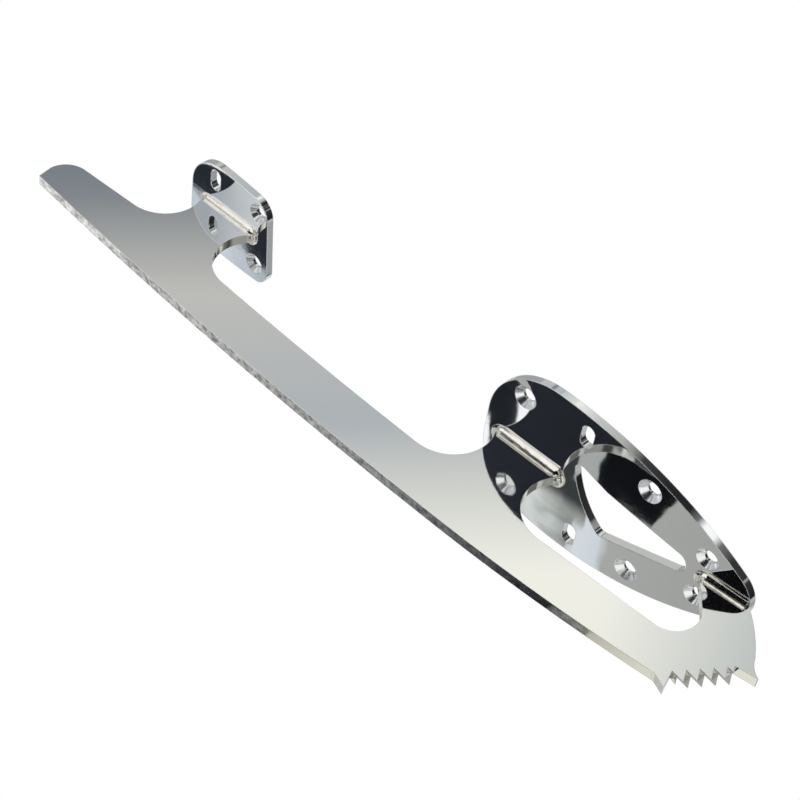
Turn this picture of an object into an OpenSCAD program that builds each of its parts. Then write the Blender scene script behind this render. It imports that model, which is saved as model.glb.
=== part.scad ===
// Figure skate blade. Its stanchions go through the sole and heel plates
// as tenons, and are brazed to their undersides.
// +X points to the toe picks, +Z up to the boot, and -Y is the outer side
// of the foot. The origin is on the ice line, under the middle of the part.
// Units are millimetres.

/* [Runner] */
// overall length, from the tail to the tip of the front pick
overall_l = 319.2; // [310:0.1:340]
// thickness of the runner
blade_t = 3.8; // [3.4:0.1:4.2]
// depth of the bar between the stanchions
bar_depth = 19.2; // [18:0.1:21]
// depth of the tail where its rounded end starts
tail_depth = 16; // [14:0.1:18]
// radius that rounds the upper corner of the tail
tail_r = 9; // [6:0.5:11]
// radius of the main rocker
rocker_r = 2134; // [1800:1:2600]
// distance from the toe back to the lowest point of the rocker
low_back = 139.6; // [130:0.1:150]
// radius of the tighter rocker behind the toe picks
spin_r = 760; // [600:10:900]
// distance from the toe back to where the tighter rocker starts
spin_back = 109.6; // [105:0.1:120]
// radius of the ground hollow
hollow_r = 12.7; // [9.5:0.1:16]

/* [Cut-outs] */
// radius of the cut-out behind the heel stanchion
heel_rear_r = 15; // [13:0.5:16]
// radius of the cut-outs on both sides of the bar
cutout_r = 16; // [14.5:0.5:17]
// radius of the window's front corner
window_front_r = 9.7; // [8:0.1:11]
// depth of the bar under the window
window_depth = 17.9; // [16:0.1:19]
// lean of the front stanchion's rear edge from upright
front_lean = 41; // [35:1:46]

/* [Toe picks] */
// number of skewed grooves in the front line
pick_n = 5; // [3:1:5]
// distance between grooves along the front line
pick_pitch = 4.44; // [4:0.02:4.6]
// depth of the grooves
pick_h = 4.1; // [3.2:0.1:4.4]
// slope of the front line
pick_slope = 54.2; // [50:0.1:58]
// skew of the grooves across the runner
pick_skew = 31; // [15:1:35]
// how far the drag pick reaches below its root
drag_drop = 1.9; // [1:0.1:2.6]

/* [Plates] */
// thickness of both plates
plate_t = 3; // [2.5:0.1:3.5]
// height of the heel plate's underside above the ice line
heel_h = 47.9; // [46:0.1:50]
// height of the sole plate's underside at its rear edge
sole_h = 44.8; // [43:0.1:47]
// radius of the sole plate's toe spring
spring_r = 1207; // [1000:1:2000]
// length of the heel plate
heel_l = 41.8; // [40:0.1:44]
// half width of the heel plate's rear end, between its corner centres
heel_rear_w = 5.6; // [4:0.1:7]
// radius of the heel plate's outer front corner
heel_outer_r = 8; // [6:0.1:9]
// radius of the heel plate's inner front corner
heel_inner_r = 6; // [5:0.1:8]
// how far the heel plate's front edge falls back at the outer corner
heel_set_back = 1.7; // [0:0.1:2]
// length of the sole plate
sole_l = 108.7; // [106:0.1:110]
// radius of the sole plate's outer side
sole_outer_r = 138; // [120:1:160]
// radius of the sole plate's inner side
sole_inner_r = 125; // [115:1:145]

/* [Screw holes] */
// radius of the screw holes
hole_r = 2.4; // [2:0.1:2.6]
// radius of the countersinks
sink_r = 4.35; // [3.8:0.05:4.6]
// radius of the smaller countersinks, in the heel plate and at the toe
small_sink_r = 4; // [3.5:0.05:4.4]
// width of the adjusting slots
slot_w = 5; // [4.4:0.1:5.4]
// length of the adjusting slots, across the plate
slot_l = 9; // [8:0.1:10]

/* [Joints] */
// leg of the brazed fillets under the sole plate
braze_leg = 2.8; // [2:0.1:3]
// leg of the brazed fillets under the heel plate
heel_braze_leg = 2.3; // [1.8:0.1:3]
// clearance round each tenon in its slot
tenon_gap = 0.1; // [0.05:0.01:0.2]

/* [Part] */
// which sub-part to draw

/* [Hidden] */

steel = [0.78, 0.79, 0.79];
mirror_chrome = [0.62, 0.63, 0.65];
silver_braze = [0.86, 0.83, 0.76];

// fineness of small curves and of the long, flat arcs
fine = 96;
long_fine = 1440;
// how far a cutter runs past the surface it cuts
over = 1;
// how far tangent pieces overlap
hair = 0.002;
// a height above everything
high = 2 * heel_h;

// Stations along the blade
tail_x = -overall_l / 2;
toe_x = overall_l / 2;
low_x = toe_x - low_back;       // lowest point of the rocker
spin_x = toe_x - spin_back;     // where the tighter rocker starts
heel_x0 = tail_x + 40.1;        // rear edge of the heel plate
heel_x1 = heel_x0 + heel_l;     // front edge of the heel plate
sole_x1 = toe_x - 18.5;         // front tip of the sole plate
sole_x0 = sole_x1 - sole_l;     // rear edge of the sole plate
saddle_x = (heel_x1 + sole_x0) / 2; // half way between the plates

// Rocker: the main arc, and a tighter arc that meets it without a corner
main_c = [low_x, rocker_r];
spin_p = [spin_x, arc_z(main_c, rocker_r, spin_x)];
spin_c = spin_p + spin_r / rocker_r * (main_c - spin_p);
function arc_z(c, r, x) = c[1] - sqrt(r * r - pow(x - c[0], 2));
function rocker_z(x) = x < spin_x ? arc_z(main_c, rocker_r, x) : arc_z(spin_c, spin_r, x);

// Height of a cut-out's centre where its circle rests on the top of the bar, and where it touches
function seat_z(x, r) = arc_z(main_c, rocker_r - bar_depth - r + hair, x);
function touch_x(cut) = low_x + (cut[0] - low_x) * (rocker_r - bar_depth) / (rocker_r - bar_depth - cut[2]);
// Where a cut-out's edge stands at a height above its centre: side is -1 for its rear half and 1 for
// its front half
function edge_x(cut, z, side) = cut[0] + side * sqrt(cut[2] * cut[2] - pow(max(0, z - cut[3]), 2));

// Undersides of the plates
spring_c = [sole_x0, sole_h + spring_r];
function sole_z(x) = arc_z(spring_c, spring_r, x);
function under_z(x) = x < saddle_x ? heel_h : sole_z(x);

// Cut-outs, each as centre x, centre z, radius and the height of its upper centre. A plate that
// stands more than this above the centre stretches the circle upward into a slot
neck = 11;
function cut_out(x, z, r) = [x, z, r, max(z, under_z(x) - neck)];
heel_rear = cut_out(heel_x0 - 6.1, seat_z(heel_x0 - 6.1, heel_rear_r), heel_rear_r);
heel_front = cut_out(heel_x1 + 5, seat_z(heel_x1 + 5, cutout_r), cutout_r);
sole_rear = cut_out(sole_x0 - 8.1, seat_z(sole_x0 - 8.1, cutout_r), cutout_r);
window_rear = cut_out(sole_x0 + 45.7, rocker_z(sole_x0 + 45.7) + window_depth + cutout_r - 0.3, cutout_r - 0.3);
window_front = [sole_x1 - 16.8, rocker_z(sole_x1 - 16.8) + window_depth - 1.8 + window_front_r, window_front_r];

// Where the front stanchion's leaning rear edge stands at a height
function lean_x(z) = window_front[0] + (window_front_r - (z - window_front[1]) * sin(front_lean)) / cos(front_lean);

// Front of the runner
front_r = 60.6;
front_c = [toe_x + 4.2 - front_r, 2.1, front_r];
scoop_r = 10.4;
scoop_c = [toe_x + scoop_r - 6, 38.5, scoop_r];
scoop_z = 34.5;
pick_tip = [toe_x, 28.9];

// Toe picks: the first notch, the direction of the front line and its outward normal
along = [cos(pick_slope), sin(pick_slope)];
outward = [sin(pick_slope), -cos(pick_slope)];
first = [toe_x - 19.5, 11.3];
skew_shift = blade_t * tan(pick_skew);
last = first + ((pick_n - 1) * pick_pitch + skew_shift) * along;
groove_half = atan((pick_pitch / 2 - 0.06) * cos(pick_skew) / pick_h);
root_half = 22.1;
drag_root_x = toe_x - 22.4;
drag_tip = [toe_x - 17.5, rocker_z(drag_root_x) - drag_drop];

// Outlines of the plates, each corner as centre x, centre y and radius
rear_r = 25.4;
nose_r = 12.6;
outer_rear = [sole_x0 + rear_r, -8.9, rear_r];
inner_rear = [sole_x0 + rear_r, 1.6, rear_r];
nose = [sole_x1 - nose_r, 0.3, nose_r];
outer_c = side_centre(outer_rear, nose, sole_outer_r);
inner_c = side_centre(nose, inner_rear, sole_inner_r);
sole_corners = [outer_rear, nose, inner_rear];
sole_sides = [sole_outer_r, sole_inner_r, 0];

heel_end_r = heel_l / 3;
heel_side_r = 300;
heel_corners = [[heel_x0 + heel_end_r, -heel_rear_w, heel_end_r],
                [heel_x1 - heel_set_back - heel_outer_r, -10.2, heel_outer_r],
                [heel_x1 - heel_inner_r, 13.4, heel_inner_r],
                [heel_x0 + heel_end_r, heel_rear_w, heel_end_r]];

// The runner stands this far off the middle of the part, because the sole plate is wider outside
plane_y = -(outer_c[1] - sole_outer_r + inner_c[1] + sole_inner_r) / 2;

// Window of the sole plate: two legs that share the corners bend and apex
window_tail = [sole_x0 + 40.2, -9.6, 2.4];
window_bend = [sole_x0 + 50.6, -6.1, 2.5];
window_nose = [sole_x1 - 28.1, -0.4, 3.9];
window_apex = [sole_x0 + 52.8, 8.2, 3.4];

// Screw holes as x, y and radius of the countersink, and slots as x and y
sole_screws = [[sole_x0 + 13.4, -23, sink_r], [sole_x0 + 13.4, 18.4, sink_r],
               [sole_x0 + 65.5, -20.9, sink_r], [sole_x0 + 65.5, 18, sink_r],
               [sole_x0 + 90.7, -9.5, small_sink_r], [sole_x0 + 90.7, 8.7, small_sink_r]];
sole_slots = [[sole_x0 + 39, -25.1], [sole_x0 + 41.7, 20.4]];
heel_screws = [[heel_x1 - 6.8, -12, small_sink_r], [heel_x1 - 6.8, 12, small_sink_r]];
heel_slots = [[heel_x0 + 12.3, -12.7], [heel_x0 + 12.3, 12.7]];

// Tenons through the plates, each as its two ends
heel_tenon = [heel_x0 + 12.5, heel_x0 + 27.5];
sole_rear_tenon = [sole_x0 + 9.6, sole_x0 + 25.6];
sole_front_tenon = [sole_x1 - 14.1, sole_x1 - 4.1];

// Where each fillet's round noses have their centres, a little inside the stanchion's edges
nose_in = 1.5;
heel_braze_x = [edge_x(heel_rear, heel_h - heel_braze_leg, 1) + nose_in,
                edge_x(heel_front, heel_h - heel_braze_leg, -1) - nose_in];
rear_braze_x = [edge_x(sole_rear, sole_h - braze_leg, 1) + nose_in,
                edge_x(window_rear, sole_z(window_tail[0]) - braze_leg, -1) - nose_in];
front_braze_x = [lean_x(sole_z(sole_x1 - 18) - braze_leg) + nose_in / 2, sole_x1 - 1];

// Outlines

// Centre of the arc of radius r that touches two corners from outside, walking anticlockwise
function side_centre(a, b, r) =
    let (v = [b[0] - a[0], b[1] - a[1]], d = norm(v), u = v / d,
         ra = r - a[2], rb = r - b[2],
         s = (ra * ra - rb * rb + d * d) / (2 * d))
    [a[0], a[1]] + s * u + sqrt(ra * ra - s * s) * [-u[1], u[0]];

// The two points where a straight side touches two corners, walking anticlockwise. They stand a hair
// inside the corners, so that round and straight pieces cross instead of only touching
function side_points(a, b) =
    let (v = [b[0] - a[0], b[1] - a[1]], d = norm(v), u = v / d,
         s = (a[2] - b[2]) / d, n = s * u + sqrt(1 - s * s) * [u[1], -u[0]])
    [[a[0], a[1]] + (a[2] - hair) * n, [b[0], b[1]] + (b[2] - hair) * n];

// A convex outline of round corners, each as centre x, centre y and radius. The sides between them
// are straight where sides holds 0, and arcs of that radius elsewhere
module outline(corners, sides) {
    n = len(corners);
    polygon([for (i = [0 : n - 1]) each side_points(corners[i], corners[(i + 1) % n])]);
    for (i = [0 : n - 1]) {
        disc(corners[i]);
        if (sides[i] > 0) bowed_side(corners[i], corners[(i + 1) % n], sides[i]);
    }
}

module bowed_side(a, b, r) {
    c = side_centre(a, b, r);
    pa = [a[0], a[1]];
    pb = [b[0], b[1]];
    intersection() {
        disc([c[0], c[1], r - hair]);
        polygon([pa, pa + r / 2 * (pa - c) / norm(pa - c), pb + r / 2 * (pb - c) / norm(pb - c), pb]);
    }
}

// The upright plane of the runner: draws a side view in x and z, with a thickness across y
module upright(t) {
    rotate([90, 0, 0]) linear_extrude(height = t, center = true) children();
}

module disc(c) {
    translate([c[0], c[1]]) circle(r = c[2], $fn = c[2] > 100 ? long_fine : 2 * fine);
}

// A cut-out, with the slot above its circle where there is one
module stretched(c) {
    disc(c);
    if (c[3] > c[1]) {
        translate([c[0] - c[2], c[1]]) square([2 * c[2], c[3] - c[1]]);
        disc([c[0], c[3], c[2]]);
    }
}

// Runner

module rocker_blank() {
    intersection() {
        translate([tail_x, -over]) square([drag_root_x + 2 * over - tail_x, high]);
        disc([main_c[0], main_c[1], rocker_r]);
        union() {
            translate([tail_x - over, -2 * over]) square([spin_x - tail_x + over, high]);
            disc([spin_c[0], spin_c[1], spin_r + hair]);
        }
    }
}

// The front of the runner, with the drag pick, the straight front line and the wide front pick
module pick_blank() {
    flank_in = pick_h / cos(root_half);
    flank_out = pick_h / cos(groove_half);
    root = [drag_root_x, rocker_z(drag_root_x)];
    inside = root + (root - drag_tip) / 2;
    difference() {
        polygon([inside, drag_tip, first,
                 first + flank_in * [cos(root_half - 90 + pick_slope), sin(root_half - 90 + pick_slope)],
                 last + flank_out * [cos(-groove_half - 90 + pick_slope), sin(-groove_half - 90 + pick_slope)],
                 last, pick_tip, [toe_x, scoop_z], [inside[0], scoop_z]]);
        disc(scoop_c);
    }
    intersection() {
        translate([drag_root_x, scoop_z]) square([toe_x - drag_root_x, high]);
        disc(front_c);
    }
}

// Everything above the tail, from its rounded end to the heel stanchion
module tail_cut() {
    round_x = tail_x + tail_r;
    round_z = rocker_z(round_x) + tail_depth - tail_r;
    difference() {
        translate([tail_x - over, round_z]) square([tail_r + over, high]);
        disc([round_x, round_z, tail_r]);
    }
    polygon([[round_x, round_z + tail_r], [heel_rear[0], heel_rear[1] - heel_rear_r + 10 * hair],
             [heel_rear[0], high], [round_x, high]]);
    stretched(heel_rear);
    // the end leans forward a little below the rounded corner
    polygon([[tail_x - over, -over], [tail_x + 2.6, -over], [tail_x, round_z], [tail_x - over, round_z]]);
}

// The open side between the two stanchions
module saddle_cut() {
    stretched(heel_front);
    stretched(sole_rear);
    intersection() {
        translate([touch_x(heel_front), 0]) square([touch_x(sole_rear) - touch_x(heel_front), high]);
        disc([main_c[0], main_c[1], rocker_r - bar_depth]);
    }
}

// The window under the sole plate
module window_cut() {
    lean = [cos(front_lean), sin(front_lean)];
    rise = [-sin(front_lean), cos(front_lean)];
    f = [window_front[0], window_front[1]];
    sill = side_points(window_rear, window_front);
    stretched(window_rear);
    disc(window_front);
    side = f + (window_front_r - hair) * lean;
    polygon([sill[0], sill[1], f, side, side + high / 3 * rise, [window_rear[0], high],
             [window_rear[0], window_rear[1]]]);
}

// Everything above the undersides of the plates
module above_plates() {
    translate([tail_x - over, heel_h]) square([saddle_x + over - tail_x, high]);
    intersection() {
        disc([spring_c[0], spring_c[1], spring_r]);
        translate([saddle_x, bar_depth]) square([toe_x + over - saddle_x, high]);
    }
}

// Side view of the runner, with stanchions that go on up past the plates
module tall_side() {
    difference() {
        union() {
            rocker_blank();
            pick_blank();
        }
        tail_cut();
        saddle_cut();
        window_cut();
    }
}

module runner_side() {
    difference() {
        tall_side();
        above_plates();
    }
}

module tenon_side(ends, gap = 0) {
    translate([ends[0] - gap, high / 3]) square([ends[1] - ends[0] + 2 * gap, high]);
}

// Tenons that pass through the plates and end flush with their top faces
module tenons() {
    upright(blade_t) {
        intersection() {
            tenon_side(heel_tenon);
            translate([tail_x, heel_h - over]) square([saddle_x - tail_x, over + plate_t]);
        }
        intersection() {
            union() {
                tenon_side(sole_rear_tenon);
                tenon_side(sole_front_tenon);
            }
            difference() {
                disc([spring_c[0], spring_c[1], spring_r + over]);
                disc([spring_c[0], spring_c[1], spring_r - plate_t]);
            }
        }
    }
}

// The ground hollow: a round-edged wheel swept along the rocker, leaving a sharp edge on each side
module hollow_sweep(c, r, from, to) {
    half = blade_t / 2 - 0.05;
    depth = hollow_r - sqrt(hollow_r * hollow_r - half * half);
    translate([c[0], 0, c[1]]) rotate([90, 0, 0])
        rotate_extrude(start = 270 + from, angle = to - from, $fn = long_fine)
            translate([r + hollow_r - depth, 0]) circle(r = hollow_r, $fn = 2 * fine);
}

module hollow() {
    join = asin((spin_x - low_x) / rocker_r);
    hollow_sweep(main_c, rocker_r, asin((tail_x - over - low_x) / rocker_r), join);
    hollow_sweep(spin_c, spin_r, join, asin((drag_root_x - over - spin_c[0]) / spin_r));
}

// Skewed grooves that leave pointed teeth, with roots higher on the inner side than on the outer
module pick_grooves() {
    reach = pick_h + 2;
    half = reach * tan(groove_half);
    for (i = [0 : pick_n - 1]) {
        root = first + i * pick_pitch * along;
        translate([root[0], -blade_t / 2, root[1]]) rotate([0, -pick_slope, 0]) rotate([0, 0, -pick_skew])
            rotate([90, 0, 0]) translate([0, 0, -3 * blade_t]) linear_extrude(height = 5 * blade_t)
                polygon([[0, 0], [-half, -reach], [half, -reach]]);
    }
}

module runner() {
    color(steel) translate([0, plane_y, 0]) {
        difference() {
            upright(blade_t) runner_side();
            hollow();
            pick_grooves();
        }
        tenons();
    }
}

// Plates

// A countersunk hole, with its wide end at the underside
module countersunk(p, z) {
    sink = p[2] - hole_r;
    translate([p[0], p[1], z - over]) {
        cylinder(r = hole_r, h = plate_t + 3 * over, $fn = fine);
        cylinder(r1 = p[2] + over, r2 = hole_r, h = sink + over, $fn = fine);
    }
}

// A slot across the plate, so that the blade can be set over before it is fixed
module slot(p, z) {
    e = (slot_l - slot_w) / 2;
    translate([p[0], p[1], z - over]) {
        for (s = [-1, 1]) translate([0, s * e, 0]) cylinder(d = slot_w, h = plate_t + 3 * over, $fn = fine);
        translate([-slot_w / 2, -e, 0]) cube([slot_w, 2 * e, plate_t + 3 * over]);
    }
}

module tenon_slot(ends) {
    upright(blade_t + 2 * tenon_gap) tenon_side(ends, tenon_gap);
}

module sole_plate() {
    color(mirror_chrome) translate([0, plane_y, 0]) difference() {
        intersection() {
            translate([0, 0, sole_h - over]) linear_extrude(height = high / 4) outline(sole_corners, sole_sides);
            upright(high) difference() {
                disc([spring_c[0], spring_c[1], spring_r]);
                disc([spring_c[0], spring_c[1], spring_r - plate_t]);
            }
        }
        translate([0, 0, sole_h - over]) linear_extrude(height = high / 4) {
            outline([window_tail, window_bend, window_apex], [0, 0, 36]);
            outline([window_bend, window_nose, window_apex], [0, 0, 0]);
        }
        for (s = sole_screws) countersunk(s, sole_z(s[0]));
        for (s = sole_slots) slot(s, sole_z(s[0]));
        tenon_slot(sole_rear_tenon);
        tenon_slot(sole_front_tenon);
    }
}

module heel_plate() {
    color(mirror_chrome) translate([0, plane_y, 0]) difference() {
        translate([0, 0, heel_h]) linear_extrude(height = plate_t) outline(heel_corners, [heel_side_r, 0, heel_side_r, 0]);
        for (s = heel_screws) countersunk(s, heel_h);
        for (s = heel_slots) slot(s, heel_h);
        tenon_slot(heel_tenon);
    }
}

// Brazed fillets

// Section of a fillet, with its root at the origin, growing outward along x and down along y
module braze_section(leg, inset) {
    edge = 0.2;
    c = leg + 0.3;
    difference() {
        translate([-inset, -leg]) square([leg + inset, leg + over]);
        translate([c, -c]) circle(r = norm([c - edge, c - leg]), $fn = fine);
    }
}

// A fillet along one side of a stanchion, with a round nose at each end that wrap asks for, and cut
// at the middle. Its ends are given as x and z, and its top follows the sole plate in short steps
module braze(from, to, leg, side, wrap) {
    length = norm(to - from);
    slope = atan2(to[1] - from[1], to[0] - from[0]);
    mirror([0, side < 0 ? 1 : 0, 0]) difference() {
        translate([from[0], 0, from[1]]) rotate([0, -slope, 0]) {
            translate([0, blade_t / 2, 0]) rotate([90, 0, 90])
                linear_extrude(height = length) braze_section(leg, 1);
            for (e = [0, 1]) if (wrap[e]) translate([e * length, 0, 0]) mirror([1 - e, 0, 0])
                rotate_extrude(angle = 90, $fn = fine)
                    translate([blade_t / 2, 0]) braze_section(leg, blade_t / 2 - hair);
        }
        upright(blade_t) tall_side();
        upright(high / 4) plate_steps(from[0] - 2 * leg - blade_t, to[0] + 2 * leg + blade_t);
    }
}

// Everything above a plate's underside, from one x to another
module plate_steps(from, to) {
    n = ceil((to - from) / 4);
    polygon([for (i = [0 : n]) let (x = from + (to - from) * i / n) [x, under_z(x)], [to, high], [from, high]]);
}

module braze_between(x, leg, side, wrap) {
    color(silver_braze) translate([0, plane_y, 0])
        braze([x[0], under_z(x[0])], [x[1], under_z(x[1])], leg, side, wrap);
}

runner();
sole_plate();
heel_plate();
braze_between(heel_braze_x, heel_braze_leg, 1, [true, true]);  // heel_braze_left
braze_between(heel_braze_x, heel_braze_leg, -1, [true, true]);  // heel_braze_right
braze_between(rear_braze_x, braze_leg, 1, [true, true]);  // sole_rear_braze_left
braze_between(rear_braze_x, braze_leg, -1, [true, true]);  // sole_rear_braze_right
braze_between(front_braze_x, braze_leg, 1, [true, false]);  // sole_front_braze_left
braze_between(front_braze_x, braze_leg, -1, [true, false]);  // sole_front_braze_right
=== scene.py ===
# %% [markdown]
# # A figure skate blade, seen from below
#
# On a real skate the blade is one brazed assembly: a steel runner, a sole plate and a heel plate
# that screw to the boot, and fillets of braze in the corners between them. The solids come ready
# made, in metres. This lesson gives them their finishes, builds a studio round them and sets the
# camera. Polished metal has little colour of its own. It shows what stands round it, so most of
# the work is in the walls, papers and cards that the metal mirrors.

import math

import bpy
from mathutils import Matrix, Vector


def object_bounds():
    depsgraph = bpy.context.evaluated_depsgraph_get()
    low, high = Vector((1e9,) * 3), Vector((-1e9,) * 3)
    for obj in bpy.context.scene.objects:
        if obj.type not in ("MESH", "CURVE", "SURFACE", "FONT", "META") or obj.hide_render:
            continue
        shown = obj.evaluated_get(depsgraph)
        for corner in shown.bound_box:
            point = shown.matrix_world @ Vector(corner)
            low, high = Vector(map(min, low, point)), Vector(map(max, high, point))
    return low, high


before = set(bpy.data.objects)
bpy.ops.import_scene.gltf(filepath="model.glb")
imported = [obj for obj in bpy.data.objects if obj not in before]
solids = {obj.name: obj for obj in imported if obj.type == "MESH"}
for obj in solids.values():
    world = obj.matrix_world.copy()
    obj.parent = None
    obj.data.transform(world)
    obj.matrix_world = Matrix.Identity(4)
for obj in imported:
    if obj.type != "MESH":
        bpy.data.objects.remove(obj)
cad_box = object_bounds()
print("solids:", len(solids), sorted(solids))
print("box in mm:", [[round(1000 * v, 1) for v in corner] for corner in cad_box])

# %% [markdown]
# ## A short way to write shaders
#
# A shader is a graph of nodes, and each sum in it takes a node of its own. Written out, a line
# such as 0.01 + haze * 0.03 would take two nodes with their settings and links. A small class
# wraps one output and lets Python's own operators add those nodes, so that a sum reads as a sum.


# %% Wrap a socket so that sums on it become nodes
class Signal:
    def __init__(self, graph, socket):
        self.graph = graph
        self.socket = socket

    def maths(self, operation, other, swap=False):
        pair = (other, self) if swap else (self, other)
        return self.graph.add("ShaderNodeMath", {"operation": operation}, {0: pair[0], 1: pair[1]})

    def __add__(self, other):
        return self.maths("ADD", other)

    def __radd__(self, other):
        return self.maths("ADD", other, True)

    def __sub__(self, other):
        return self.maths("SUBTRACT", other)

    def __rsub__(self, other):
        return self.maths("SUBTRACT", other, True)

    def __mul__(self, other):
        return self.maths("MULTIPLY", other)

    def __rmul__(self, other):
        return self.maths("MULTIPLY", other, True)

    def __truediv__(self, other):
        return self.maths("DIVIDE", other)

    def __rtruediv__(self, other):
        return self.maths("DIVIDE", other, True)

    def __gt__(self, other):
        return self.maths("GREATER_THAN", other)

    def __lt__(self, other):
        return self.maths("LESS_THAN", other)


print("a signal takes + - * / and the comparisons > <")

# %% [markdown]
# Every other node comes from one method. It takes the node's type, then its settings, then what
# goes into its sockets: a number stays on the socket, and a signal is linked to it. The settings
# come first because some of them change which sockets a node shows.


# %% One method for every other node
class Graph:
    def __init__(self, owner):
        owner.use_nodes = True
        self.tree = owner.node_tree
        self.tree.nodes.clear()

    def add(self, kind, settings=None, inputs=None, output=0):
        node = self.tree.nodes.new(kind)
        for name, value in (settings or {}).items():
            if name == "stops":
                self.set_stops(node.color_ramp, value)
            else:
                setattr(node, name, value)
        for name, value in (inputs or {}).items():
            if isinstance(value, Signal):
                self.tree.links.new(value.socket, node.inputs[name])
            else:
                node.inputs[name].default_value = value
        return Signal(self, node.outputs[output])

    def set_stops(self, ramp, stops):
        while len(ramp.elements) < len(stops):
            ramp.elements.new(1.0)
        for element, (place, colour) in zip(ramp.elements, stops):
            element.position = place
            element.color = (*colour, 1.0)

    def finish(self, kind, shader):
        end = self.tree.nodes.new(kind)
        self.tree.links.new(shader.socket, end.inputs["Surface"])


print("a graph adds any node with one call")

# %% [markdown]
# ## Colours
#
# Colours are picked on a screen, and the renderer wants light in a linear scale. Each
# colour could be converted on paper. It is done once, here, so that the rest of the lesson can be
# written in screen values from 0 to 255.


# %% Turn screen colours into light
def light(red, green, blue):
    def linear(value):
        share = value / 255
        return share / 12.92 if share <= 0.04045 else ((share + 0.055) / 1.055) ** 2.4
    return tuple(linear(value) for value in (red, green, blue))


print("mid grey as light:", [round(v, 3) for v in light(128, 128, 128)])

# %% [markdown]
# ## Small tools for metal
#
# The finishes share a few things: a noise, which may be stretched into fine lines, a colour
# between two others, and a bump that tilts the surface by a height. Each gets a short helper.


# %% Noise, lines, colours and bumps
def noise(graph, place, scale, detail, rough=0.5):
    inputs = {"Vector": place, "Scale": scale, "Detail": detail, "Roughness": rough}
    return graph.add("ShaderNodeTexNoise", None, inputs)


def stretched(graph, place, scale, turn=0.0):
    inputs = {"Vector": place, "Scale": scale, "Rotation": (0.0, 0.0, turn)}
    return graph.add("ShaderNodeMapping", None, inputs)


def axis_of(graph, vector, axis):
    return graph.add("ShaderNodeSeparateXYZ", None, {0: vector}, axis)


def between(graph, share, first, second):
    low, high = ((*light(*colour), 1.0) for colour in (first, second))
    return graph.add("ShaderNodeMix", {"data_type": "RGBA"}, {0: share, 6: low, 7: high}, 2)


def raised(graph, height, strength, distance, normal=None):
    inputs = {"Height": height, "Strength": strength, "Distance": distance}
    if normal is not None:
        inputs["Normal"] = normal
    return graph.add("ShaderNodeBump", None, inputs)


print("helpers:", [tool.__name__ for tool in (noise, stretched, axis_of, between, raised)])

# %% [markdown]
# The real edges are rolled over by the polishing wheel, by less than half a millimetre. A bevel
# modifier would round them, but the solids have to stay as they are. So a Bevel node rolls the
# edges in the shading alone: it turns the normals near an edge, and a thin line of light appears
# there as on the real piece. The metal itself is one shader with a colour, a roughness and the
# direction that the surface faces.


# %% Metal and its rolled edge
def metal(graph, colour, roughness, normal):
    inputs = {"Base Color": colour, "Metallic": 1.0, "Roughness": roughness, "Normal": normal}
    return graph.add("ShaderNodeBsdfPrincipled", None, inputs)


def rolled_edge(graph, radius):
    return graph.add("ShaderNodeBevel", {"samples": 6}, {"Radius": radius})


plate_roll, runner_roll, braze_roll = 0.0004, 0.0003, 0.0004
print("edges rolled by, in mm:", [1000 * roll for roll in (plate_roll, runner_roll, braze_roll)])

# %% [markdown]
# ## The countersunk screw holes
#
# Each screw hole widens to a cone for the screw's head. A drill leaves the cone duller than the
# polished face round it, and no wheel rolls it over. The cones could be separate pieces with a
# material of their own, but they are part of the plate's solid. They are the only faces of a
# plate that look down at a slant, so the shader finds them by their normals.


# %% Find the cones
least_slant, most_slant = math.radians(22), math.radians(72)


def sunk_cone(graph, facing):
    """One on the cones of the screw holes, and nought elsewhere."""
    tilt = axis_of(graph, facing, "Z")
    return (tilt > -math.cos(least_slant)) * (tilt < -math.cos(most_slant))


print("cones look between", round(math.degrees(least_slant)), "and", round(math.degrees(most_slant)),
      "degrees from straight down")

# %% [markdown]
# ## Bright plating on the plates
#
# The plates are pressed from sheet, polished and chrome plated. Chrome reflects most of the light
# and is slightly blue. A plain mirror would look drawn with a ruler, because a pressed plate is
# never quite flat. So a low, wide swell bends the reflections a little, fine scratches cross it,
# and a faint haze changes the roughness from place to place.


# %% Make the plate finish
def plate_chrome():
    material = bpy.data.materials.new("plate_chrome")
    g = Graph(material)
    place = g.add("ShaderNodeTexCoord", output="Object")
    facing = g.add("ShaderNodeNewGeometry", output="Normal")
    cone = sunk_cone(g, facing)
    edge = g.add("ShaderNodeMix", {"data_type": "VECTOR"},
                 {0: cone, 4: rolled_edge(g, plate_roll), 5: facing}, 1)
    swell = raised(g, noise(g, place, 60.0, 1.0), 0.05, 0.001, edge)
    hairs = noise(g, stretched(g, place, (60.0, 2600.0, 2600.0), 0.6), 1.0, 3.0)
    scratched = raised(g, hairs, 0.02, 0.00005, swell)
    haze = noise(g, place, 350.0, 3.0)
    tone = between(g, haze, (240, 243, 246), (247, 248, 250))
    shader = metal(g, tone, 0.01 + haze * 0.03 + cone * 0.17, scratched)
    g.finish("ShaderNodeOutputMaterial", shader)
    return material


chrome = plate_chrome()
print("made", chrome.name, "with", len(chrome.node_tree.nodes), "nodes")

# %% [markdown]
# ## The runner's polished faces
#
# The runner is cut from flat steel. Its two sides are polished nearly as bright as the plates,
# with a faint grain along the length. The cut faces, which follow the outline, are finished less
# finely: a little darker, warmer and duller. One solid holds them all, so the shader tells them
# apart by the way they look, sideways or not.


# %% Polish the sides and the outline
sideways = 0.9


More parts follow.
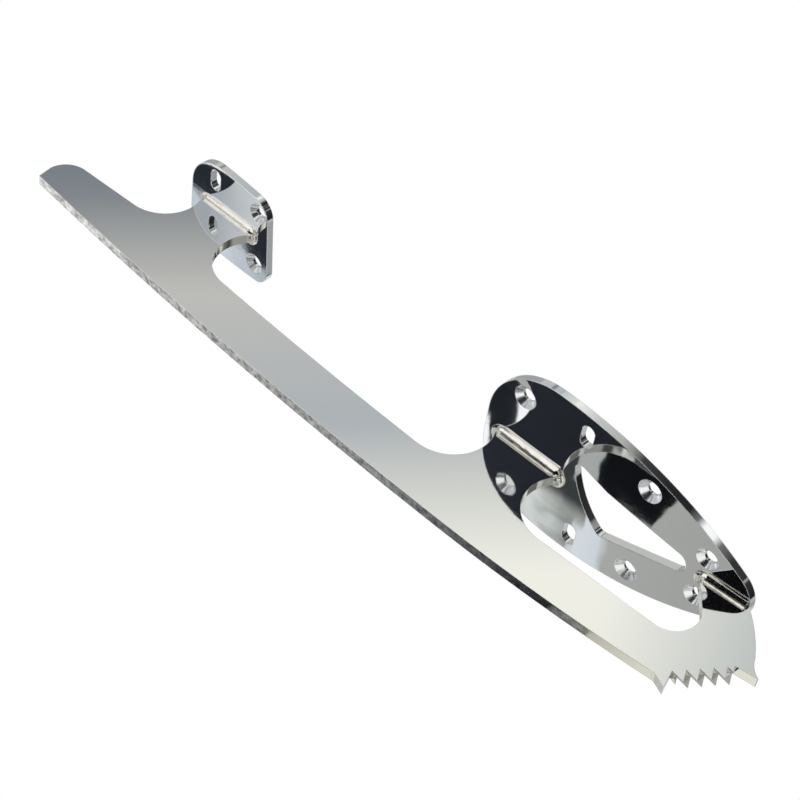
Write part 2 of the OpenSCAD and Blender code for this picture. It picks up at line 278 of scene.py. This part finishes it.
def polished_faces(graph, place, facing):
    grain = noise(graph, stretched(graph, place, (40.0, 1500.0, 1500.0)), 1.0, 4.0)
    edge = rolled_edge(graph, runner_roll)
    grained = raised(graph, grain, 0.03, 0.00006, edge)
    side = metal(graph, (*light(247, 247, 246), 1.0), 0.03 + grain * 0.035, grained)
    outline = metal(graph, (*light(226, 224, 217), 1.0), 0.06 + grain * 0.12, edge)
    across = axis_of(graph, facing, "Y")
    on_outline = (across < sideways) * (across > -sideways)
    return graph.add("ShaderNodeMixShader", None, {0: on_outline, 1: side, 2: outline})


print("faces count as sides up to", round(math.degrees(math.acos(sideways))), "degrees from sideways")

# %% [markdown]
# ## The runner's ground bottom
#
# The bottom is ground to a hollow with a coarse wheel, which leaves short marks and a mottled,
# dull surface. The wheel stays clear of the toe picks, so the last stretch before them is plain.
# An image of ground steel would repeat and stretch. A noise with strong contrast, used for the
# colour, the roughness and the bump alike, keeps the marks together.


# %% Grind the bottom
pick_roots = 0.0088
grinding_end = cad_box[1][0] - 0.0466
least_down = -0.85


def ground_face(graph, place):
    blotch = noise(graph, place, 420.0, 4.0, 0.7)
    share = (blotch - 0.35) * 3.4
    mottled = between(graph, share, (146, 149, 151), (255, 255, 253))
    marks = raised(graph, blotch, 0.12, 0.0004)
    return metal(graph, mottled, 0.09 + blotch * 0.10, marks)


def where_ground(graph, place, facing):
    """One where the wheel went: on faces that look down, low, and short of the toe picks."""
    looks_down = axis_of(graph, facing, "Z") < least_down
    is_low = axis_of(graph, place, "Z") < pick_roots
    is_behind = axis_of(graph, place, "X") < grinding_end
    return looks_down * is_low * is_behind


print("ground below", 1000 * pick_roots, "mm and up to", round(1000 * grinding_end, 1), "mm")

# %% [markdown]
# Both kinds of face meet in one material, because the runner is one solid with one slot. The mask
# from the last cell chooses between the two shaders and gives them a sharp border.


# %% Make the runner finish
def runner_steel():
    material = bpy.data.materials.new("runner_steel")
    g = Graph(material)
    place = g.add("ShaderNodeTexCoord", output="Object")
    facing = g.add("ShaderNodeNewGeometry", output="True Normal")
    choice = {0: where_ground(g, place, facing), 1: polished_faces(g, place, facing),
              2: ground_face(g, place)}
    g.finish("ShaderNodeOutputMaterial", g.add("ShaderNodeMixShader", None, choice))
    return material


steel = runner_steel()
print("made", steel.name, "with", len(steel.node_tree.nodes), "nodes")

# %% [markdown]
# ## The brazed fillets
#
# Silver braze flows into the corners between runner and plates, and is polished with the rest.
# It keeps the soft waves of a metal that has run. They could be modelled, but they are less than
# a tenth of a millimetre deep, so a bump shows them as well. It is stronger than on the other
# pieces, and the tone is a little warmer.


# %% Make the fillet finish
def silver_braze():
    material = bpy.data.materials.new("silver_braze")
    g = Graph(material)
    place = g.add("ShaderNodeTexCoord", output="Object")
    wave = noise(g, place, 300.0, 2.0)
    wavy = raised(g, wave, 0.32, 0.0005, rolled_edge(g, braze_roll))
    tone = between(g, wave, (222, 216, 205), (250, 248, 244))
    g.finish("ShaderNodeOutputMaterial", metal(g, tone, 0.05 + wave * 0.06, wavy))
    return material


braze = silver_braze()
print("made", braze.name, "with", len(braze.node_tree.nodes), "nodes")

# %% [markdown]
# ## Dress the solids
#
# Each solid keeps its mesh and its place and only gets a material in its slot. A piece could get
# a fresh slot, but filling the one it came with keeps every face on its material.


# %% Give each solid its finish
for name, solid in sorted(solids.items()):
    finish = steel if name == "runner" else chrome if name.endswith("plate") else braze
    for slot in solid.material_slots:
        slot.material = finish
    print(name, "gets", finish.name)

# %% [markdown]
# ## The studio
#
# The world is white to the camera, to mirrors and through glass, and dimmer as a light, so that
# it doesn't wash out the faint shadow on the floor. It tells the rays apart with a Light Path
# node. The Standard view keeps white white, where a filmic one would turn it grey.


# %% Make the world white where it is seen
world = bpy.data.worlds.new("studio")
bpy.context.scene.world = world
g = Graph(world)
kinds = ("Is Camera Ray", "Is Glossy Ray", "Is Transmission Ray")
camera_ray, glossy_ray, clear_ray = (g.add("ShaderNodeLightPath", output=kind) for kind in kinds)
rays = camera_ray + glossy_ray + clear_ray
seen = g.add("ShaderNodeMath", {"operation": "MINIMUM"}, {0: rays, 1: 1.0})
backdrop = {"Color": (1.0, 1.0, 1.0, 1.0), "Strength": 0.6 + seen * 0.4}
g.finish("ShaderNodeOutputWorld", g.add("ShaderNodeBackground", None, backdrop))
bpy.context.scene.view_settings.view_transform = "Standard"
print("world:", world.name, "for", ", ".join(kinds))

# %% [markdown]
# ## Sheets that the metal mirrors
#
# A photographer puts white and black cards round a polished piece, just outside the picture, and
# the metal shows them. So does this scene. Each card is a flat sheet that glows by itself, which
# gives it the same tone from everywhere. A tone can run along one direction, as paper darkens
# away from a lamp, and some papers get soft creases. Real lamps and grey cards would do as well,
# but then each tone would depend on all the lamps at once.


# %% A glow with a tone that runs
sheet_power = 1.06


def glow(name, stops, along=(1.0, 0.0, 0.0), shift=0.0, creases=0.0):
    """A glowing paint. A stop is a place in metres, along a direction, and a screen colour."""
    start = stops[0][0]
    reach = stops[-1][0] - start
    material = bpy.data.materials.new(name)
    g = Graph(material)
    place = g.add("ShaderNodeTexCoord", output="Object")
    run = g.add("ShaderNodeVectorMath", {"operation": "DOT_PRODUCT"}, {0: place, 1: along}, "Value")
    if creases:
        folds = noise(g, stretched(g, place, (20.0, 130.0, 1.0), 0.5), 1.0, 2.0)
        run = run + (folds - 0.5) * creases
    shares = [((metres - start) / reach, light(*colour)) for metres, colour in stops]
    tone = g.add("ShaderNodeValToRGB", {"stops": shares}, {"Fac": (run - (start + shift)) / reach})
    shine = g.add("ShaderNodeEmission", None, {"Color": tone, "Strength": sheet_power})
    g.finish("ShaderNodeOutputMaterial", shine)
    return material


def plain(*colour):
    return [(0.0, colour), (1.0, colour)]


print("a glow shows", sheet_power, "times its tone")

# %% [markdown]
# What only the metal should see is hidden from the camera, and it neither lights the floor
# nor throws a shadow.


# %% Faces of the stage
def surface(name, corners, faces, material):
    mesh = bpy.data.meshes.new(name)
    mesh.from_pydata(corners, [], faces)
    mesh.materials.append(material)
    piece = bpy.data.objects.new(name, mesh)
    bpy.context.scene.collection.objects.link(piece)
    return piece


def only_mirrored(piece):
    piece.visible_camera = False
    piece.visible_diffuse = False
    piece.visible_shadow = False
    print(piece.name, "has", len(piece.data.vertices), "corners")


def sheet(name, corners, stops, **run):
    whole = tuple(range(len(corners)))
    only_mirrored(surface(name, corners, [whole], glow(name + "_glow", stops, **run)))


print("sheets show in the metal alone")

# %% [markdown]
# The room is closed by a large pale ball, a little under white, so that bright edges still stand
# out from the background. A ball has no corner that a mirror could show.

# %% The ball round everything
ball_radius, rings, spokes = 7.0, 12, 24


def ball_point(ring, spoke):
    fall = math.pi * ring / rings
    turn = 2 * math.pi * spoke / spokes
    return tuple(ball_radius * share for share in
                 (math.sin(fall) * math.cos(turn), math.sin(fall) * math.sin(turn), math.cos(fall)))


def ball_face(ring, spoke):
    here, beside = ring * spokes + spoke, ring * spokes + (spoke + 1) % spokes
    return (here, beside, beside + spokes, here + spokes)


points = [ball_point(ring, spoke) for ring in range(rings + 1) for spoke in range(spokes)]
faces = [ball_face(ring, spoke) for ring in range(rings) for spoke in range(spokes)]
only_mirrored(surface("dome", points, faces, glow("dome_glow", plain(214, 217, 218))))

# %% [markdown]
# ## The wall before the outer side
#
# Mirrors copy directions exactly, so each sheet is placed by following the view backward: from
# the camera to a face, and from there on to where that face looks. The outer side of the runner
# looks at a wall before the blade. It finds a blue-grey band there for the tail, then warm white
# and then darker tones toward the toe. They run at a slant, as the light does on the real piece.


# %% Upright sheets
def standing(name, start, end, foot, top, stops, **run):
    """A sheet that stands on the line from start to end, each given as x and y."""
    sheet(name, [(*start, foot), (*end, foot), (*end, top), (*start, top)], stops, **run)


def slanted(rise):
    """A run along the length that leans with the height. The stops hold at the eye line."""
    eye_line = 0.93
    return {"along": (1.0, 0.0, rise), "shift": rise * eye_line}


heel_x, toe_x, front_y, back_y = -2.6, 1.9, -1.2, 1.6
tail_part_end, side_part_end = -0.4, 0.66
foot, top, front_heights = -0.48, 3.4, (-0.45, 2.4)
tail_tones = [(-1.7, (190, 190, 184)), (-1.44, (174, 174, 170)), (-1.36, (114, 122, 131)),
              (-1.24, (128, 134, 140)), (-1.0, (190, 190, 186)), (-0.7, (172, 178, 183)),
              (-0.57, (206, 208, 204)), (-0.4, (240, 240, 232))]
standing("tail_wall", (heel_x, front_y), (tail_part_end, front_y), *front_heights, tail_tones,
         **slanted(-0.8))
toe_tones = [(-0.4, (240, 240, 232)), (-0.34, (238, 238, 230)), (-0.16, (192, 197, 195)),
             (0.03, (178, 178, 172)), (0.12, (142, 142, 138)), (0.22, (60, 60, 60)),
             (0.5, (38, 38, 40))]
standing("toe_side_wall", (tail_part_end, front_y), (side_part_end, front_y), *front_heights, toe_tones,
         **slanted(0.44))

# %% [markdown]
# The rims of the plates turn round from the side to the toe and sweep over the rest of this wall.
# A white field between two dark ones gives them the sharp bands of polished chrome. Small sheets
# hang a centimetre before the walls. Here a low dark skirt puts a line under the crest of the
# braze, and a dark sheet is for the slot of the heel plate, which the runner's side mirrors.

# %% The rest of the front wall
rim_tones = [(0.66, (40, 40, 42)), (0.76, (110, 110, 110)), (0.84, (250, 250, 250)),
             (0.98, (250, 250, 250)), (1.08, (110, 110, 108)), (1.3, (52, 52, 52))]
standing("rim_wall", (side_part_end, front_y), (toe_x, front_y), *front_heights, rim_tones)

off_wall = 0.01
before_wall = front_y + off_wall
standing("skirt", (-0.75, before_wall), (toe_x, before_wall), foot, -0.15, plain(84, 84, 86))
standing("slot_dark", (0.78, before_wall), (1.15, before_wall), 0.9, 1.12, plain(40, 40, 42))

# %% [markdown]
# ## The back wall
#
# The front ends of the plates mirror the back wall, and so do the parts of the sole plate that
# first look at the runner. It is pale with a slow change of tone, and greyer below for the toe
# picks. Two small dark sheets on it give depth to the cut-out beside the heel plate and to the
# runner's image in the sole plate.

# %% The back wall and its sheets
back_tones = [(-1.0, (190, 192, 192)), (-0.58, (156, 158, 160)), (-0.28, (236, 238, 238)),
              (0.0, (228, 230, 230)), (0.8, (186, 188, 188)), (1.3, (150, 152, 152)),
              (1.6, (156, 157, 156))]
standing("back_wall", (heel_x, back_y), (toe_x, back_y), foot, top, back_tones)

before_back = back_y - off_wall
standing("back_skirt", (-0.9, before_back), (1.0, before_back), foot, 0.95, plain(165, 165, 162))
standing("hole_dark", (-0.75, before_back), (-0.45, before_back), 1.35, 1.7, plain(36, 36, 38))
standing("band_dark", (0.9, before_back), (1.5, before_back), 0.75, 1.35, plain(60, 60, 60))

# %% [markdown]
# ## The two end walls
#
# The rim of the sole plate ends in a dark band at the toe, between two lighter ones. A dark wall
# gives it that. The flanks of the toe picks mirror each other first and then a bright sheet on
# the same wall, so they stay light. The rear rims only need a plain grey wall.

# %% The toe wall and the heel wall
end_tones = [(-1.2, (150, 150, 148)), (-1.0, (130, 130, 128)), (-0.85, (50, 50, 50)),
             (0.9, (30, 30, 31)), (1.0, (166, 166, 164)), (1.2, (180, 180, 178))]
standing("toe_wall", (toe_x, front_y), (toe_x, back_y), foot, top, end_tones, along=(0.0, 1.0, 0.0))
before_toe = toe_x - off_wall
standing("pick_light", (before_toe, 1.1), (before_toe, 1.58), 0.3, 0.9, plain(250, 250, 250))
standing("heel_wall", (heel_x, front_y), (heel_x, back_y), foot, top, plain(160, 161, 160))

# %% [markdown]
# ## Papers behind the blade
#
# The undersides of the plates look down and past the blade, at papers that lie on the floor
# behind it. Seven papers lie side by side from heel to toe. Each has a short run of tones along
# the length and soft creases, as in the photograph's reflections. One long paper would do the
# same with a long list of tones that nobody could read.


# %% Sheets that lie on the floor
low, layer_step = -0.5, 0.002
paper_layer, crease_layer, card_layer, grey_layer, light_layer = range(5)


def lying(name, outline, layer, stops, **run):
    """A sheet that lies in one of the thin layers over the floor, from its x and y points."""
    sheet(name, [(x, y, low + layer * layer_step) for x, y in outline], stops, **run)


def oblong(x_span, y_span):
    (x0, x1), (y0, y1) = x_span, y_span
    return [(x0, y0), (x1, y0), (x1, y1), (x0, y1)]


papers = {
    "heel_paper": [(-0.76, (180, 188, 192)), (-0.66, (206, 212, 216)), (-0.6, (170, 178, 184)),
                   (-0.45, (218, 222, 224))],
    "white_paper": [(-0.45, (218, 222, 224)), (-0.35, (250, 250, 250)), (-0.27, (246, 246, 246))],
    "streaky_paper": [(-0.27, (168, 170, 164)), (-0.18, (196, 200, 196)), (-0.17, (212, 218, 222))],
    "blue_paper": [(-0.17, (214, 220, 224)), (-0.14, (206, 213, 217)), (-0.13, (176, 178, 175))],
    "grey_paper": [(-0.13, (168, 169, 165)), (0.01, (160, 160, 155)), (0.03, (196, 197, 192))],
    "toe_paper": [(0.03, (200, 202, 196)), (0.19, (254, 254, 250)), (0.25, (124, 124, 122))],
    "corner_paper": [(0.25, (112, 112, 110)), (1.0, (112, 112, 110))],
}
for name, stops in papers.items():
    rear, front = stops[0][0], stops[-1][0]
    far_rear = -1.6 if name == "heel_paper" else rear
    lying(name, oblong((far_rear, front), (0.1, 1.0)), paper_layer, stops, creases=0.012)

# %% [markdown]
# Between its rear fillet and its window, the sole plate shows a crumpled paper with strong
# streaks. It is a small sheet of its own with deep creases, and its tones run at a slant.

# %% The creased paper
crumpled = [(1.2, (140, 143, 139)), (1.25, (172, 176, 171)), (1.31, (214, 218, 214)),
            (1.35, (196, 200, 196)), (1.45, (226, 229, 226))]
crumpled_outline = [(-0.27, 0.672), (-0.178, 0.672), (-0.184, 0.78), (-0.27, 0.78)]
lying("creased_paper", crumpled_outline, crease_layer, crumpled, along=(-2.0, 1.2, 0.0), creases=0.22)

# %% [markdown]
# ## Dark cards behind the blade
#
# Black cards lie on the papers. Their edges appear as the sharp borders between black and bright
# on the plates. A border could be drawn into the plates' material, but it would then stay put in
# other views, which a mirror image doesn't. Each outline has only the corners that it needs.

# %% Dark cards on the papers
heel_card = [(-0.74, 0.25), (-0.56, 0.25), (-0.56, 0.664), (-0.595, 0.696), (-0.63, 0.684),
             (-0.68, 0.66), (-0.74, 0.652)]
lying("heel_black", heel_card, card_layer, plain(38, 42, 48))
sole_card = [(-0.56, 0.25), (-0.305, 0.25), (-0.3, 0.55), (-0.2785, 0.655), (-0.2785, 0.7),
             (-0.313, 0.7), (-0.326, 0.652), (-0.56, 0.652)]
lying("sole_black", sole_card, card_layer, plain(30, 33, 38))
window_card = [(-0.163, 0.25), (0.016, 0.25), (-0.066, 0.57), (-0.086, 0.622), (-0.163, 0.622)]
lying("window_black", window_card, card_layer, plain(16, 18, 21))

# %% [markdown]
# The border of the window's black card is softened by its neighbours: a card that fades to grey
# at its far edge, and a narrow grey strip. A bright paper toward the toe is for the cones of the
# screw holes, whose one half looks that way.

# %% The soft card, the grey strip and the bright paper
soft_tones = [(0.2, (52, 56, 57)), (0.653, (55, 58, 58)), (0.672, (158, 161, 156)),
              (0.7, (190, 193, 188))]
soft_card = [(-0.228, 0.2), (-0.19, 0.2), (-0.19, 0.628), (-0.163, 0.628), (-0.163, 0.674),
             (-0.228, 0.674)]
lying("soft_dark", soft_card, card_layer, soft_tones, along=(0.0, 1.0, 0.0))
lying("window_grey", oblong((-0.19, -0.163), (0.25, 0.628)), card_layer, plain(164, 168, 164))
lying("right_light", oblong((0.5, 1.6), (-0.7, 0.5)), light_layer, plain(246, 246, 244))

# %% [markdown]
# ## Sheets before the blade
#
# The near half of each plate first mirrors the side of the runner and then looks down before the
# blade. Under the sole plate it finds a dark card there, and under the heel plate a light paper.
# A grey card between them is for the braze and the cones.

# %% Sheets before the blade
near_tones = [(-1.0, (186, 190, 192)), (-0.68, (164, 170, 175)), (-0.62, (206, 209, 211)),
              (-0.5, (255, 255, 255)), (0.0, (255, 255, 255))]
lying("near_paper", oblong((-1.6, 1.2), (-1.19, 0.05)), paper_layer, near_tones)
near_dark_tones = [(-0.4, (40, 43, 50)), (-0.14, (31, 34, 39)), (-0.08, (12, 12, 14)),
                   (0.2, (8, 8, 9))]
near_dark_card = [(-0.43, -1.18), (0.9, -1.18), (0.9, -0.02), (0.02, -0.02), (0.0, -0.44),
                  (-0.2, -0.5), (-0.36, -0.55)]
lying("near_dark", near_dark_card, card_layer, near_dark_tones)
near_grey_card = [(-0.5, -0.5), (-0.2, -0.49), (-0.16, -0.3), (-0.5, -0.3)]
lying("near_grey", near_grey_card, grey_layer, plain(122, 122, 122))

# %% [markdown]
# ## The cards under the ground face
#
# The ground bottom looks straight down. In the photograph it is light at the tail, dark under the
# ball of the foot and light again at the toe, and no large sheet could give it that without
# showing in the plates as well. So a narrow card hangs a few millimetres under the blade, where
# hardly anything but the bottom mirrors it. It comes in two pieces, because the tone steps up
# before the toe.


# %% Hang the cards under the bottom
card_height = -0.006
near_edge, step_x, step_y = 0.006, 0.095, 0.024


def hanging(name, outline, stops):
    sheet(name, [(x, y, card_height) for x, y in outline], stops)


tail_part = [(-0.215, near_edge), (step_x, near_edge), (step_x, step_y), (0.0, 0.020),
             (-0.06, 0.024), (-0.114, 0.036), (-0.19, 0.054), (-0.215, 0.056)]
tail_run = [(-0.18, (238, 238, 235)), (-0.138, (236, 236, 234)), (-0.12, (206, 206, 204)),
            (-0.06, (192, 192, 190)), (-0.006, (172, 173, 172)), (0.04, (124, 126, 128)),
            (0.075, (62, 64, 67)), (step_x, (36, 38, 40))]
hanging("ground_card", tail_part, tail_run)
toe_part = [(step_x, near_edge), (0.145, near_edge), (0.145, 0.032), (step_x, step_y)]
toe_run = [(step_x, (100, 101, 100)), (0.109, (140, 140, 134)), (0.111, (200, 199, 190)),
           (0.13, (232, 232, 226))]
hanging("ground_toe_card", toe_part, toe_run)

# %% [markdown]
# ## The floor
#
# The blade is seen from below, so the pale floor lies under the camera as well, just under the
# papers. It shows in the views from above. A plain dull paint is enough for it.


# %% Lay the floor
def floor_paint():
    material = bpy.data.materials.new("floor_paint")
    g = Graph(material)
    paint = {"Base Color": (*light(240, 240, 240), 1.0), "Roughness": 0.6}
    g.finish("ShaderNodeOutputMaterial", g.add("ShaderNodeBsdfPrincipled", None, paint))
    return material


under, half = low - 0.02, 4.0
floor_corners = [(x, y, under) for x, y in oblong((-half, half), (-half, half))]
floor = surface("floor", floor_corners, [(0, 1, 2, 3)], floor_paint())
print(floor.name, "lies at", round(under, 2), "m")

# %% [markdown]
# ## The lamps
#
# Two large soft lamps from above put a faint shadow on the floor. A mirror would show each lamp
# as a hard white square, so the lamps are hidden from the rays that leave a mirror.


# %% Hang the lamps
def lamp(name, place, size, power):
    data = bpy.data.lights.new(name, "AREA")
    data.size = size
    data.energy = power
    piece = bpy.data.objects.new(name, data)
    piece.location = place
    piece.rotation_euler = (-Vector(place)).to_track_quat("-Z", "Y").to_euler()
    piece.visible_glossy = False
    bpy.context.scene.collection.objects.link(piece)
    print(name, power, "W")


lamp("key", (0.6, 0.5, 1.4), 0.8, 9.0)
lamp("fill", (-0.9, 0.8, 0.9), 1.0, 5.0)

# %% [markdown]
# ## The camera
#
# A long lens stands below the blade and before its toe, and is rolled far over, so that the blade
# crosses the picture from corner to corner. The place was found from the blade's straight and
# round edges in the photograph. It could be kept as a matrix, but a place, an aim and a roll are
# easier to read and to change.

# %% Set the camera
place = Vector((0.2809, -0.45247, -0.3275))
aim = Vector((0.00822, 0.0, 0.02782))
roll = math.radians(56.6)
data = bpy.data.cameras.new("camera")
data.sensor_width = 36.0
data.lens = 85.23
data.clip_start = 0.01
camera = bpy.data.objects.new("camera", data)
level = (aim - place).to_track_quat("-Z", "Y").to_matrix()
camera.matrix_world = (level @ Matrix.Rotation(roll, 3, "Z")).to_4x4()
camera.location = place
bpy.context.scene.collection.objects.link(camera)
bpy.context.scene.camera = camera
print("distance:", round((aim - place).length, 3), "m, field of view:",
      round(math.degrees(data.angle), 2), "degrees")
